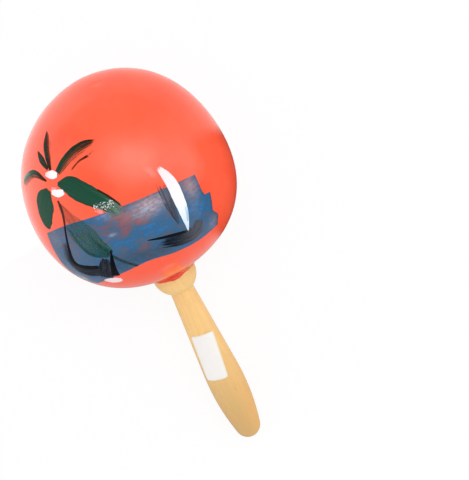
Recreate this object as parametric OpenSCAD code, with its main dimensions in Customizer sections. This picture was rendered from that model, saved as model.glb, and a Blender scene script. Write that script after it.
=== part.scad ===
// A painted gourd maraca, lying on a table on its head and on the end of its handle.
// A hollow gourd is plugged by the tenon of a turned wooden handle, and loose seeds lie in it.
// Millimetres. +Z is up, +X runs from the handle to the head, and the table is Z = 0.

/* [Gourd head] */
// Diameter of the gourd at its widest
head_w = 105; // [96:0.1:116]
// Length of the gourd from its stem end to its blossom end
head_l = 109.2; // [100:0.1:122]
// Thickness of the dried shell
shell_wall = 3.5; // [2.5:0.1:6]

/* [Handle] */
// Diameter of the tenon that plugs the gourd
tenon_d = 14; // [10:0.1:16]
// How far the tenon reaches in from the gourd's stem end
tenon_in = 16; // [9:0.1:24]
// Bevel at the inner end of the tenon
tenon_bevel = 1.2; // [0.5:0.1:2.5]
// Diameter of the rounded collar under the gourd
collar_d = 22.8; // [20:0.1:28]
// Length of the collar from the gourd's stem end to the neck
collar_l = 9.2; // [8:0.1:14]
// Diameter of the neck, the thinnest place
neck_d = 12.4; // [9:0.1:15]
// Length of the grip from the neck to the end of the handle
grip_l = 92; // [76:0.1:110]
// Diameter of the grip at its widest
grip_d = 19.5; // [17:0.1:24]
// Distance of the widest place from the end of the handle
swell_from_end = 33.8; // [26:0.1:44]
// Radius of the domed end
end_r = 6.8; // [5:0.1:8]

/* [Label] */
// Length of the blank paper label, along the handle
label_l = 26.2; // [18:0.1:34]
// Width of the label, laid out flat
label_w = 12.7; // [8:0.1:16]
// Thickness of the paper
label_t = 0.2; // [0.1:0.01:0.4]
// Radius of the label's corners
label_corner_r = 1.6; // [0.5:0.1:3]
// Distance of the label's middle from the neck
label_from_neck = 37.5; // [26:0.1:54]
// Turn of the label round the handle, from the top
label_turn = 15; // [-60:1:60]
// Slant of the label against the handle's axis, as it was stuck on by hand
label_slant = -6; // [-12:0.5:12]

/* [Seeds] */
// Number of loose seeds in the gourd
seed_count = 24; // [12:1:30]
// Length of a seed
seed_l = 6.2; // [5:0.1:7]
// Thickness of a seed
seed_w = 5.6; // [4.5:0.1:6.5]
// Diameter of the flat scar where the seed was attached
seed_scar_d = 1.6; // [0.8:0.1:2.4]

/* [Fits] */
// Glue line between the handle and the gourd
glue_gap = 0.1; // [0.05:0.01:0.3]
// Film of adhesive under the label
label_gap = 0.05; // [0.02:0.01:0.15]
// Air between a seed and what it lies on or beside
seed_gap = 0.2; // [0.1:0.05:0.6]

/* [Hidden] */
$fn = 96;
// Largest turn between two points of an arc
arc_step = 4;
// Bands of the label along the grip, and of a seed from end to end
label_bands = 12;
seed_bands = 12;
// Turn between one seed and the next in the golden-angle spiral that they lie in
seed_turn = 137.508;
// Closest spacing of that spiral when it grows by 1
seed_spread = 1.6;
// Halvings of the height when a seed is let down on the shell
seed_steps = 28;

// The gourd's outline is one arc, whose centre lies past the axis because the gourd is longer than wide.
// Profiles are drawn with x away from the axis and y along it, from the gourd's middle to the handle.
past_axis = (pow(head_l / 2, 2) - pow(head_w / 2, 2)) / head_w;
head_r = head_w / 2 + past_axis;
head_mid = [-past_axis, 0];
cavity_r = head_r - shell_wall;
hole_r = tenon_d / 2 + glue_gap;

// Along the handle, from the gourd's middle
stem_y = head_l / 2;
neck_y = stem_y + collar_l;
end_y = neck_y + grip_l;
cap_mid = [0, end_y - end_r];
swell_y = end_y - swell_from_end;

// The collar is a ball whose underside meets the neck and whose top is dished to seat on the gourd.
collar_r = collar_d / 2;
neck_r = neck_d / 2;
collar_mid = [0, neck_y - sqrt(pow(collar_r, 2) - pow(neck_r, 2))];
seat_r = head_r + glue_gap;
seat_to_collar = collar_mid - head_mid;
seat_way = norm(seat_to_collar);
seat_rim_turn = atan2(seat_to_collar.y, seat_to_collar.x)
    - acos((pow(seat_r, 2) - pow(collar_r, 2) + pow(seat_way, 2)) / (2 * seat_way * seat_r));
collar_rim = head_mid + seat_r * [cos(seat_rim_turn), sin(seat_rim_turn)];
collar_rim_turn = atan2(collar_rim.y - collar_mid.y, collar_rim.x);

// The swell is an arc that runs into the domed end, and the taper from the neck is tangent to it.
swell_r = (pow(grip_d / 2, 2) - pow(end_r, 2) + pow(cap_mid.y - swell_y, 2)) / (grip_d - 2 * end_r);
swell_mid = [grip_d / 2 - swell_r, swell_y];
neck_from_swell = [neck_r, neck_y] - swell_mid;
taper_turn = atan2(neck_from_swell.y, neck_from_swell.x) + acos(swell_r / norm(neck_from_swell));
cap_turn = asin((cap_mid.y - swell_y) / (swell_r - end_r));
taper_end = swell_mid + swell_r * [cos(taper_turn), sin(taper_turn)];

// The axis dips by the slope of the table's tangent to the gourd and to the end of the handle.
lie_on_cap = tangent_slope(cap_mid, end_r);
lie = lie_on_cap >= cap_turn ? lie_on_cap : tangent_slope(swell_mid, swell_r);
head_z = head_r - past_axis * cos(lie);
head_x = (cap_mid.y * cos(lie) + end_r - head_r + past_axis * sin(lie)) / 2;

label_y = neck_y + label_from_neck;
label_inner_r = grip_r(label_y) + label_gap;
label_chord = 2 * label_inner_r * sin(label_w / (2 * label_inner_r) * 180 / PI);

function seed_name(i) = str("seed_", i < 9 ? "0" : "", i + 1);

// Points of an arc from turn a to turn b, both ends included
function arc(mid, r, a, b) =
    let (n = max(1, ceil(abs(b - a) / arc_step)))
    [for (k = [0 : n]) mid + r * [cos(a + (b - a) * k / n), sin(a + (b - a) * k / n)]];

function without_first(points) = [for (k = [1 : len(points) - 1]) points[k]];

function without_last(points) = [for (k = [0 : len(points) - 2]) points[k]];

// Slope of the line that touches the gourd's arc and another arc on the same side
function tangent_slope(mid, r) =
    let (far = mid - head_mid)
    asin((head_r - r) / norm(far)) - atan2(far.x, far.y);

// Radius of the grip at a place along the axis
function grip_r(y) = y < taper_end.y
    ? neck_r + (taper_end.x - neck_r) * (y - neck_y) / (taper_end.y - neck_y)
    : swell_mid.x + sqrt(pow(swell_r, 2) - pow(y - swell_y, 2));

// Half of the gourd's section: outside from the hole to the blossom end, then back along the cavity
function gourd_profile() = concat(
    without_last(arc(head_mid, head_r, acos((hole_r + past_axis) / head_r), -acos(past_axis / head_r))),
    [[0, -stem_y], [0, -sqrt(pow(cavity_r, 2) - pow(past_axis, 2))]],
    without_first(arc(head_mid, cavity_r, -acos(past_axis / cavity_r), acos((hole_r + past_axis) / cavity_r))));

// Half of the handle's section, from the tenon to the domed end
function handle_profile() = concat(
    [[0, stem_y - tenon_in],
     [tenon_d / 2 - tenon_bevel, stem_y - tenon_in],
     [tenon_d / 2, stem_y - tenon_in + tenon_bevel]],
    without_last(arc(head_mid, seat_r, acos((tenon_d / 2 + past_axis) / seat_r), seat_rim_turn)),
    arc(collar_mid, collar_r, collar_rim_turn, acos(neck_r / collar_r)),
    without_last(arc(swell_mid, swell_r, taper_turn, cap_turn)),
    arc(cap_mid, end_r, cap_turn, 90));

// A strip of paper that follows the grip, a little longer than the label on its slant
function label_strip() =
    let (reach = (label_l + label_w) / 2)
    let (ys = [for (k = [0 : label_bands]) label_y + reach * (2 * k / label_bands - 1)])
    concat(
        [for (y = ys) [grip_r(y) + label_gap, y]],
        [for (k = [label_bands : -1 : 0]) [grip_r(ys[k]) + label_gap + label_t, ys[k]]]);

function label_outline() =
    let (x = label_l / 2 - label_corner_r, y = label_chord / 2 - label_corner_r)
    concat(
        arc([x, y], label_corner_r, 0, 90),
        arc([-x, y], label_corner_r, 90, 180),
        arc([-x, -y], label_corner_r, 180, 270),
        arc([x, -y], label_corner_r, 270, 360));

// Half of a seed's section: an oval with a flat scar at one end
function seed_profile() =
    let (from = asin(seed_scar_d / seed_w))
    concat(
        [[0, seed_l / 2 * cos(from)]],
        [for (k = [0 : seed_bands])
            let (a = from + (180 - from) * k / seed_bands)
            [seed_w / 2 * sin(a), seed_l / 2 * cos(a)]]);

// Whether a seed's middle, measured from the gourd's middle, is clear of the shell
function seed_clear(p) =
    let (along = p.x * cos(lie) + p.z * sin(lie))
    let (out = sqrt(max(0, p * p - along * along)))
    norm([out + past_axis, along]) <= cavity_r - seed_gap - seed_l / 2;

// The lowest height at which a seed is clear of the shell, found by halving
function seed_drop(x, y, low, high, steps) = steps == 0
    ? high
    : let (mid = (low + high) / 2)
      seed_clear([x, y, mid]) ? seed_drop(x, y, low, mid, steps - 1) : seed_drop(x, y, mid, high, steps - 1);

// Middle of each seed, in a spiral round the lowest place of the cavity
function seed_place(i) =
    let (out = (seed_l + seed_gap) / seed_spread * sqrt(i + 1))
    let (x = out * cos(i * seed_turn) - past_axis * sin(lie), y = out * sin(i * seed_turn))
    [head_x + x, y, head_z + seed_drop(x, y, -head_r, 0, seed_steps)];

// Lays what is drawn along +Z, from the gourd's middle to the handle, down on the table
module lying() {
    translate([head_x, 0, head_z])
        rotate([0, -90 - lie, 0])
            children();
}

module gourd_shell() {
    color("tomato")
        lying()
            rotate_extrude()
                polygon(gourd_profile());
}

module handle() {
    color("burlywood")
        lying()
            rotate_extrude()
                polygon(handle_profile());
}

module paper_label() {
    color("white")
        lying()
            rotate([0, 0, label_turn])
                intersection() {
                    rotate_extrude()
                        polygon(label_strip());
                    translate([0, 0, label_y])
                        rotate([0, 90, 0])
                            rotate(label_slant)
                                linear_extrude(height = grip_d)
                                    polygon(label_outline());
                }
}

module seed(i) {
    color("saddlebrown")
        translate(seed_place(i))
            rotate([0, 90, i * seed_turn * 2])
                rotate_extrude()
                    polygon(seed_profile());
}

gourd_shell();
handle();
paper_label();
for (i = [0 : seed_count - 1]) seed(i);
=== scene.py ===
# %% [markdown]
# # A painted gourd maraca on a table
#
# The maraca is a dried gourd, hollow and hard, coated in coral enamel and painted by hand with a palm, a
# strip of sea and a sailing boat. A turned wooden handle plugs its stem end, and loose seeds inside make
# the sound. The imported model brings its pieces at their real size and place. This lesson gives them their
# looks: fine surfaces worked out with numpy, and finishes made of shader nodes.

import bpy
import numpy as np
from mathutils import Matrix, Vector


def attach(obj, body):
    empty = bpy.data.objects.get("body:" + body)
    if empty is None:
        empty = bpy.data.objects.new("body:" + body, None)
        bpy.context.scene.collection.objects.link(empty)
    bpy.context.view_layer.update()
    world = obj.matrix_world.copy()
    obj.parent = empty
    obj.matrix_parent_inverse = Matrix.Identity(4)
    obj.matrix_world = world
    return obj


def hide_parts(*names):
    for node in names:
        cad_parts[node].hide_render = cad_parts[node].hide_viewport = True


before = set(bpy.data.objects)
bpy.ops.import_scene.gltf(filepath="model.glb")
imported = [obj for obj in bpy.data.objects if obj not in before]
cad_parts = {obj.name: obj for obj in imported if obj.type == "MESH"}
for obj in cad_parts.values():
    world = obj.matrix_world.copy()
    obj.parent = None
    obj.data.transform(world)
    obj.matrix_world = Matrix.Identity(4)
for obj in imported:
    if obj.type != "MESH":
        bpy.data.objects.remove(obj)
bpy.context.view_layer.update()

# %% [markdown]
# ## The sizes
#
# A gourd and a turned handle are round about one axis, so each is an outline carried round that axis. The
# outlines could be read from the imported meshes, but those have flat bands that would show in the gloss.
# Here they are worked out again from the driving sizes of the solids: the gourd is one arc whose centre
# lies a little past the axis, the collar is a ball, and the grip is a taper that runs into a long arc and
# a domed end.

# %% Sizes and the axis
MM = 0.001
HEAD_W = 105 * MM
HEAD_L = 109.2 * MM
SHELL_WALL = 3.5 * MM
TENON_D = 14 * MM
TENON_IN = 16 * MM
TENON_BEVEL = 1.2 * MM
COLLAR_D = 22.8 * MM
COLLAR_L = 9.2 * MM
NECK_D = 12.4 * MM
GRIP_L = 92 * MM
GRIP_D = 19.5 * MM
SWELL_FROM_END = 33.8 * MM
END_R = 6.8 * MM
GLUE_GAP = 0.1 * MM

PAST_AXIS = ((HEAD_L / 2) ** 2 - (HEAD_W / 2) ** 2) / HEAD_W
HEAD_R = HEAD_W / 2 + PAST_AXIS
STEM = HEAD_L / 2
NECK = STEM + COLLAR_L
END = NECK + GRIP_L
CAP = END - END_R

lie = np.arcsin((HEAD_R - END_R) / np.hypot(CAP, PAST_AXIS)) - np.arctan2(PAST_AXIS, CAP)
to_handle = np.array([-np.cos(lie), 0, -np.sin(lie)])
to_top = np.array([-np.sin(lie), 0, np.cos(lie)])
to_side = np.array([0, 1, 0])
head_middle = np.array([
    (CAP * np.cos(lie) + END_R - HEAD_R + PAST_AXIS * np.sin(lie)) / 2,
    0,
    HEAD_R - PAST_AXIS * np.cos(lie),
])
print(f"the axis dips {np.degrees(lie):.2f} degrees")
print(f"the gourd's middle is at {np.round(head_middle / MM, 2)} mm")

# %% [markdown]
# ## The camera
#
# The photograph looks straight down. The handle slants across the picture, so the camera is turned about
# the vertical until it does the same here. The gourd's middle is put on its own pixel by moving the
# camera sideways and not by shifting the lens, so that the other views stay centred.

# %% Camera at the photograph's place
IMAGE_W = 469
IMAGE_H = 480
FOCAL_PIXELS = 1106.5
SENSOR_MM = 24
CAMERA_H = 600 * MM
HEAD_PIXEL = (128.4, 179.3)
HANDLE_SLANT = np.radians(24.8)

picture_right = np.array([-np.sin(HANDLE_SLANT), -np.cos(HANDLE_SLANT), 0])
picture_up = np.array([np.cos(HANDLE_SLANT), -np.sin(HANDLE_SLANT), 0])
pixel_size = (CAMERA_H - head_middle[2]) / FOCAL_PIXELS
camera_place = (
    head_middle
    + (IMAGE_W / 2 - HEAD_PIXEL[0]) * pixel_size * picture_right
    - (IMAGE_H / 2 - HEAD_PIXEL[1]) * pixel_size * picture_up
)
camera_place[2] = CAMERA_H

camera_lens = bpy.data.cameras.new("camera")
camera_lens.sensor_fit = "VERTICAL"
camera_lens.sensor_height = SENSOR_MM
camera_lens.lens = FOCAL_PIXELS / IMAGE_H * SENSOR_MM
camera = bpy.data.objects.new("camera", camera_lens)
bpy.context.scene.collection.objects.link(camera)
camera_frame = np.eye(4)
camera_frame[:3, 0] = picture_right
camera_frame[:3, 1] = picture_up
camera_frame[:3, 3] = camera_place
camera.matrix_world = Matrix(camera_frame)
bpy.context.scene.camera = camera
print(f"a pixel is {pixel_size / MM:.3f} mm at the gourd's middle")

# %% [markdown]
# ## Surfaces
#
# Every piece here is a closed skin over rings of points. For a turned piece a ring goes round the axis.
# For a brush stroke a ring goes over the paint film and back under it. One function therefore joins rings
# into faces for all of them, and another turns the skins of a piece into one Blender mesh.

# %% Skins over rings of points
def outward(points, quads, tris):
    """Turns the faces round if they enclose a negative volume, summed over tetrahedra to the middle."""
    corners = np.vstack([quads[:, [0, 1, 2]], quads[:, [0, 2, 3]], tris])
    a, b, c = (points[corners[:, k]] - points.mean(0) for k in range(3))
    if np.einsum("ij,ij->", a, np.cross(b, c)) < 0:
        return quads[:, ::-1], tris[:, ::-1]
    return quads, tris


def skin(rings, loop=False, **marks):
    """Faces over an array (rings, points of a ring, 3): quads join each point to its neighbours on its
    ring and on the next. A loop goes on from the last ring to the first; otherwise a fan closes each end
    on the middle of its ring. Marks are values of the same grid, which become attributes of the mesh."""
    count, size = rings.shape[:2]
    ring, point = np.meshgrid(np.arange(count if loop else count - 1), np.arange(size), indexing="ij")
    here, ahead = ring * size, (ring + 1) % count * size
    beside = (point + 1) % size
    quads = np.stack([here + point, here + beside, ahead + beside, ahead + point], -1).reshape(-1, 4)
    points = rings.reshape(-1, 3)
    values = {}
    for name, grid in marks.items():
        values[name] = np.asarray(grid, float).reshape(count * size, *grid.shape[2:])
    tris = np.zeros((0, 3), int)
    if not loop:
        near = np.arange(size)
        far = near + (count - 1) * size
        start = np.full(size, count * size)
        tris = np.vstack([
            np.stack([start, np.roll(near, -1), near], -1),
            np.stack([start + 1, far, np.roll(far, -1)], -1),
        ])
        points = np.vstack([points, points[near].mean(0), points[far].mean(0)])
        for name, grid in values.items():
            values[name] = np.concatenate([grid, [grid[near].mean(0), grid[far].mean(0)]])
    quads, tris = outward(points, quads, tris)
    return {"points": points, "quads": quads, "tris": tris, "marks": values}


print("skin functions ready")

# %% Pieces from skins
def make_piece(name, skins, materials, sharp=None):
    """One object from one or more skins, which rides on the maraca. Edges past the angle stay sharp."""
    starts = np.cumsum([0] + [len(part["points"]) for part in skins])
    quads = np.vstack([part["quads"] + start for part, start in zip(skins, starts)])
    tris = np.vstack([part["tris"] + start for part, start in zip(skins, starts)])
    mesh = bpy.data.meshes.new(name)
    mesh.from_pydata(np.vstack([part["points"] for part in skins]), [], quads.tolist() + tris.tolist())
    for label in skins[0]["marks"]:
        values = np.concatenate([part["marks"][label] for part in skins]).astype(np.float32)
        kind, field = ("FLOAT_VECTOR", "vector") if values.ndim == 2 else ("FLOAT", "value")
        mesh.attributes.new(label, kind, "POINT").data.foreach_set(field, values.ravel())
    for material in materials:
        mesh.materials.append(material)
    mesh.shade_smooth()
    if sharp:
        mesh.set_sharp_from_angle(angle=sharp)
    piece = bpy.data.objects.new(name, mesh)
    bpy.context.scene.collection.objects.link(piece)
    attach(piece, "maraca")
    print(f"{name}: {len(skins)} skins, {2 * len(quads) + len(tris)} triangles")
    return piece


print("piece function ready")

# %% [markdown]
# ## Shader helpers
#
# Finishes are node trees. A few small helpers keep them readable: one places a node with its inputs set
# or linked, and others make the steps that come back everywhere, which are a sum or product, a mix of
# colours and a row of colours along a value.

# %% Node helpers
def place(tree, kind, inputs=None, **settings):
    """A new shader node with its settings, and with its inputs linked to sockets or set to values."""
    node = tree.nodes.new("ShaderNode" + kind)
    for name, value in settings.items():
        setattr(node, name, value)
    for name, value in (inputs or {}).items():
        if isinstance(value, bpy.types.NodeSocket):
            tree.links.new(value, node.inputs[name])
        else:
            node.inputs[name].default_value = value
    return node


def maths(tree, operation, a, b=0.0):
    """One step of arithmetic on values."""
    return place(tree, "Math", {0: a, 1: b}, operation=operation).outputs[0]


def times(tree, a, b):
    return maths(tree, "MULTIPLY", a, b)


def plus(tree, a, b):
    return maths(tree, "ADD", a, b)


def minus(tree, a, b):
    return maths(tree, "SUBTRACT", a, b)


def vectors(tree, operation, a, b=(0, 0, 0), output="Vector"):
    """One step of arithmetic on vectors."""
    return place(tree, "VectorMath", {0: a, 1: b}, operation=operation).outputs[output]


def remap(tree, value, low, high, start=0.0, end=1.0, smooth=True):
    """A value carried from low..high to start..end, and held at both."""
    inputs = {"Value": value, "From Min": low, "From Max": high, "To Min": start, "To Max": end}
    kind = "SMOOTHSTEP" if smooth else "LINEAR"
    return place(tree, "MapRange", inputs, interpolation_type=kind).outputs[0]


def mixed(tree, factor, a, b):
    """Colour a where the factor is 0, and b where it is 1."""
    return place(tree, "Mix", {0: factor, 6: a, 7: b}, data_type="RGBA").outputs[2]


def shades(tree, value, colours):
    """A row of colours, each at its place along a value from 0 to 1."""
    ramp = place(tree, "ValToRGB", {"Fac": value})
    steps = ramp.color_ramp.elements
    while len(steps) < len(colours):
        steps.new(1.0)
    for step, (spot, colour) in zip(steps, colours):
        step.position = spot
        step.color = colour
    return ramp.outputs["Color"]


def noise(tree, vector, scale=1.0, detail=2.0, roughness=0.5):
    """Soft patches round a half, with finer ones inside by their detail and roughness."""
    inputs = {"Vector": vector, "Scale": scale, "Detail": detail, "Roughness": roughness}
    return place(tree, "TexNoise", inputs).outputs["Fac"]


def stretched(tree, vector, rate):
    """A place times a rate along each axis. Patches are long where the rate is low."""
    return vectors(tree, "MULTIPLY", vector, rate)


def mark(tree, name, output):
    """A value that the piece's own mesh carries."""
    return place(tree, "Attribute", attribute_name=name).outputs[output]


def object_place(tree):
    """A point's place on its object."""
    return place(tree, "TexCoord").outputs["Object"]


print("node helpers ready")

# %% Node groups and materials
FLOAT = "NodeSocketFloat"
VECTOR = "NodeSocketVector"


def group(name, inputs, outputs):
    """A new node group with float or vector inputs and float outputs: its tree, inputs and outputs."""
    tree = bpy.data.node_groups.new(name, "ShaderNodeTree")
    for label, kind in inputs.items():
        tree.interface.new_socket(label, in_out="INPUT", socket_type=kind)
    for label in outputs:
        tree.interface.new_socket(label, in_out="OUTPUT", socket_type=FLOAT)
    return tree, tree.nodes.new("NodeGroupInput").outputs, tree.nodes.new("NodeGroupOutput").inputs


def use(tree, made_group, inputs):
    """A node group placed in a material with its own values."""
    return place(tree, "Group", inputs, node_tree=made_group).outputs


def new_finish(name, **constants):
    """A material with one Principled surface. The constants are the same all over it."""
    material = bpy.data.materials.new(name)
    material.use_nodes = True
    tree = material.node_tree
    surface = tree.nodes["Principled BSDF"]
    for label, value in constants.items():
        surface.inputs[label.replace("_", " ")].default_value = value
    return material, tree, surface


def finish_surface(tree, surface, **sockets):
    """Links what changes over the surface to its sockets."""
    for label, socket in sockets.items():
        tree.links.new(socket, surface.inputs[label.replace("_", " ")])


def bumped(tree, height, depth):
    """A normal bent by a height from 0 to 1 that stands for depth."""
    return place(tree, "Bump", {"Height": height, "Distance": depth}).outputs["Normal"]


print("group and material helpers ready")

# %% [markdown]
# ## Effects that several finishes share
#
# Three things come back on this object. Enamel that was brushed on and left to level has a faint
# orange-peel skin. A brush leaves streaks along its stroke and breaks up where it runs dry. And
# everything natural is mottled. Each is a node group, built once, and each material places it with its
# own values.

# %% Enamel skin, bristle marks and mottling
ENAMEL_PEEL = 700.0
ENAMEL_SWELLS = 70.0
PEEL_SHARE = 0.1
STREAK_RATE = 0.07
GRAIN_RATE = 1.8
FLECK_RATE = 9.0
NOISE_SPAN = (0.3, 0.7)
GLOSS_SPAN = (0.35, 0.65)
FLECK_SPAN = (0.55, 0.75)


def build_enamel_skin():
    """Height of the levelled enamel: small orange peel on slow swells; and how its gloss varies."""
    tree, given, result = group("Enamel skin", {"Place": VECTOR}, ("Height", "Gloss"))
    peel = noise(tree, given["Place"], ENAMEL_PEEL, detail=1.0)
    swells = noise(tree, given["Place"], ENAMEL_SWELLS)
    patches = noise(tree, given["Place"], 2 * ENAMEL_SWELLS, detail=3.0)
    tree.links.new(plus(tree, times(tree, peel, PEEL_SHARE), swells), result["Height"])
    tree.links.new(remap(tree, patches, *GLOSS_SPAN), result["Gloss"])
    return tree


def build_bristle_marks():
    """Streaks along a stroke, which are noise that is long along it and narrow across, mixed with grains
    by their share. The paint covers where its load, raised or lowered by both, is above a half; softness
    is how far it goes on as a thin wash below that."""
    values = ("Load", "Streak", "Grain", "Raggedness", "Softness")
    sockets = {"Brush": VECTOR, **{label: FLOAT for label in values}}
    tree, given, result = group("Bristle marks", sockets, ("Cover", "Streak", "Height"))
    across = maths(tree, "DIVIDE", 1.0, given["Streak"])
    rate = place(tree, "CombineXYZ", {"X": STREAK_RATE, "Y": across, "Z": 1.0}).outputs[0]
    streaked = noise(tree, stretched(tree, given["Brush"], rate), detail=3.0, roughness=0.6)
    streak = remap(tree, streaked, *NOISE_SPAN, smooth=False)
    grained = noise(tree, given["Brush"], GRAIN_RATE, roughness=0.6)
    grains = remap(tree, grained, *NOISE_SPAN, smooth=False)
    broken = place(tree, "Mix", {0: given["Grain"], 2: streak, 3: grains}, data_type="FLOAT").outputs[0]
    swing = times(tree, minus(tree, broken, 0.5), given["Raggedness"])
    low = minus(tree, 0.5, given["Softness"])
    high = plus(tree, 0.5, given["Softness"])
    cover = remap(tree, plus(tree, given["Load"], swing), low, high)
    tree.links.new(cover, result["Cover"])
    tree.links.new(streak, result["Streak"])
    tree.links.new(times(tree, streak, cover), result["Height"])
    return tree


def build_mottling():
    """Soft patches of a given size, with finer ones inside."""
    tree, given, result = group("Mottling", {"Place": VECTOR, "Scale": FLOAT}, ("Patches", "Flecks"))
    patches = noise(tree, given["Place"], given["Scale"], detail=4.0)
    flecks = noise(tree, given["Place"], times(tree, given["Scale"], FLECK_RATE), detail=3.0)
    tree.links.new(remap(tree, patches, *NOISE_SPAN), result["Patches"])
    tree.links.new(remap(tree, flecks, *FLECK_SPAN), result["Flecks"])
    return tree


enamel_skin = build_enamel_skin()
bristle_marks = build_bristle_marks()
mottling = build_mottling()
print("shared effects:", [tree.name for tree in (enamel_skin, bristle_marks, mottling)])

# %% [markdown]
# ## The gourd's surface
#
# A gourd grows, so it is never quite round. Seen from above, this one bulges and flattens by up to a
# millimetre. Such lobes could be sculpted by hand, but the paint has to lie on the same surface. So one
# function gives a point of the gourd for a place on a globe, and the gourd, the enamel and every brush
# stroke use it. The lobes are a few waves round the vertical, which die out at the top and at the collar.

# %% Points round the axis
WIDEST_POINTS = 12


def full_turn(count):
    """Even turns all the way round the axis."""
    return np.linspace(0, 2 * np.pi, count, endpoint=False)


def from_axis(around):
    """The direction away from the axis: the cosine of around to the top, and its sine to the side."""
    return np.cos(around)[..., None] * to_top + np.sin(around)[..., None] * to_side


def turned(reach, out, around):
    """Points of a turned piece: reach along the axis from the gourd's middle towards the handle, out away
    from the axis, and around it from the top towards +Y."""
    return head_middle + reach[..., None] * to_handle + out[..., None] * from_axis(around)


def plain_gourd(down, around, wall=0.0):
    """An arc of HEAD_R less the wall, its centre PAST_AXIS past the axis, carried round the axis."""
    radius = HEAD_R - wall
    return turned(radius * np.sin(down), radius * np.cos(down) - PAST_AXIS, around)


def gourd_normal(down, around):
    """The direction out of the arc: the sine of down along the axis, and its cosine away from it."""
    return np.sin(down)[..., None] * to_handle + np.cos(down)[..., None] * from_axis(around)


def globe(points):
    """The place on the globe under each point, along the normal of the arc."""
    way = points - head_middle
    reach = way @ to_handle
    out = np.linalg.norm(way - reach[..., None] * to_handle, axis=-1)
    return np.arctan2(reach, out + PAST_AXIS), np.arctan2(way @ to_side, way @ to_top)


widest_line = plain_gourd(np.zeros(WIDEST_POINTS), full_turn(WIDEST_POINTS))
print(f"the widest line is {2 * np.linalg.norm(widest_line[0] - head_middle) / MM:.1f} mm across")

# %% Lobes and the blossom scar
LOBES = ((2, 0.4 * MM, -55), (3, 0.7 * MM, 10), (4, 0.7 * MM, 12))
LOBES_END_FROM = 51.6 * MM
LOBES_END_TO = 53.4 * MM
SCAR_DOWN = -70
SCAR_AROUND = -24
SCAR_R = 2.2 * MM
SCAR_DEPTH = 0.35 * MM


def eased(low, high, x):
    """A step from 0 at low to 1 at high with flat ends: 3x^2 - 2x^3 of the share of the way."""
    share = np.clip((x - low) / (high - low), 0, 1)
    return share * share * (3 - 2 * share)


def lobes(points):
    """How far the grown gourd stands out from the plain arc: the sum of waves round the vertical, each
    times the level share of the direction to the power of its count, so that all of them vanish at the
    top."""
    way = points - head_middle
    right, up = way @ picture_right, way @ picture_up
    level = np.hypot(right, up) / np.linalg.norm(way, axis=-1)
    turn = np.arctan2(-up, right)
    wave = np.zeros(turn.shape)
    for count, size, peak in LOBES:
        wave += size * level**count * np.cos(count * (turn - np.radians(peak)))
    return wave * (1 - eased(LOBES_END_FROM, LOBES_END_TO, way @ to_handle))


scar_place = plain_gourd(*np.radians([[SCAR_DOWN], [SCAR_AROUND]]))[0]


def on_gourd(down, around, lift=0.0):
    """Places on the gourd as on a globe: down from its widest line to the handle, around from the top
    towards +Y. The blossom scar is a dimple, a bell curve of the distance from its middle."""
    points = plain_gourd(down, around)
    scar = SCAR_DEPTH * np.exp(-(np.linalg.norm(points - scar_place, axis=-1) / SCAR_R) ** 2)
    return points + (lobes(points) - scar + lift)[..., None] * gourd_normal(down, around)


print(f"lobes at the widest line: {np.round(lobes(widest_line) / MM, 2)} mm")

# %% [markdown]
# ## Coral enamel and the raw gourd
#
# The coat is a brushed-on oil enamel: strong coral, glossy, a little uneven in depth where the brush laid
# more or less. A flat red plastic would look dead, so the colour shifts with soft mottling, the gloss
# varies, and the skin has its orange peel. Where it pooled it is deeper and glossier, and also darker as
# painted shade. Inside, where nobody painted, the gourd is dry and tan.

# %% Finishes of the gourd
ENAMEL_PATCHES = 45.0
PEEL_DEPTH = 0.06 * MM


def build_coral_enamel(name, thin, deep, shiny, dull, painted_joint_shade=None):
    """Enamel whose colour shifts between thin and deep, and whose roughness runs from shiny to dull. Where
    the mesh marks the joint, the colour turns towards a given dark colour, as painted shade."""
    material, tree, surface = new_finish(name, IOR=1.5)
    spot = object_place(tree)
    coat = use(tree, enamel_skin, {"Place": spot})
    tone = use(tree, mottling, {"Place": spot, "Scale": ENAMEL_PATCHES})
    colour = mixed(tree, tone["Patches"], thin, deep)
    if painted_joint_shade:
        # Painted shade: the enamel darkens where the mesh marks the joint
        colour = mixed(tree, mark(tree, "crease", "Fac"), colour, painted_joint_shade)
    gloss = remap(tree, coat["Gloss"], 0, 1, shiny, dull)
    normal = bumped(tree, coat["Height"], PEEL_DEPTH)
    finish_surface(tree, surface, Base_Color=colour, Roughness=gloss, Normal=normal)
    return material


def build_husk(name, scale, pale, dark, smooth, rough, depth):
    """A dry skin, mottled from pale to dark, and rougher and raised where it is flecked."""
    material, tree, surface = new_finish(name)
    tone = use(tree, mottling, {"Place": object_place(tree), "Scale": scale})
    colour = mixed(tree, tone["Patches"], pale, dark)
    roughness = remap(tree, tone["Flecks"], 0, 1, smooth, rough)
    normal = bumped(tree, tone["Flecks"], depth)
    finish_surface(tree, surface, Base_Color=colour, Roughness=roughness, Normal=normal)
    return material


coral_enamel = build_coral_enamel(
    "coral_enamel", thin=(0.99, 0.11, 0.046, 1), deep=(0.97, 0.086, 0.031, 1), shiny=0.14, dull=0.22
)
# Pooled enamel: deeper in colour where it lies thick, and darker still as painted shade round the joint
pooled_enamel_and_shade = build_coral_enamel(
    "pooled_enamel_and_shade", thin=(0.85, 0.075, 0.035, 1), deep=(0.75, 0.055, 0.027, 1), shiny=0.1, dull=0.14,
    painted_joint_shade=(0.32, 0.035, 0.014, 1),
)
raw_gourd = build_husk(
    "raw_gourd", 120.0, pale=(0.5, 0.33, 0.17, 1), dark=(0.34, 0.2, 0.09, 1),
    smooth=0.75, rough=0.95, depth=0.3 * MM,
)
print("gourd finishes:", coral_enamel.name, pooled_enamel_and_shade.name, raw_gourd.name)

# %% [markdown]
# ## The gourd
#
# The shell is one closed skin. It starts at the blossom end, runs over the outside to the hole for the
# handle, through the hole, and back over the inside. Faces from the hole on take the raw finish.

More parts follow.
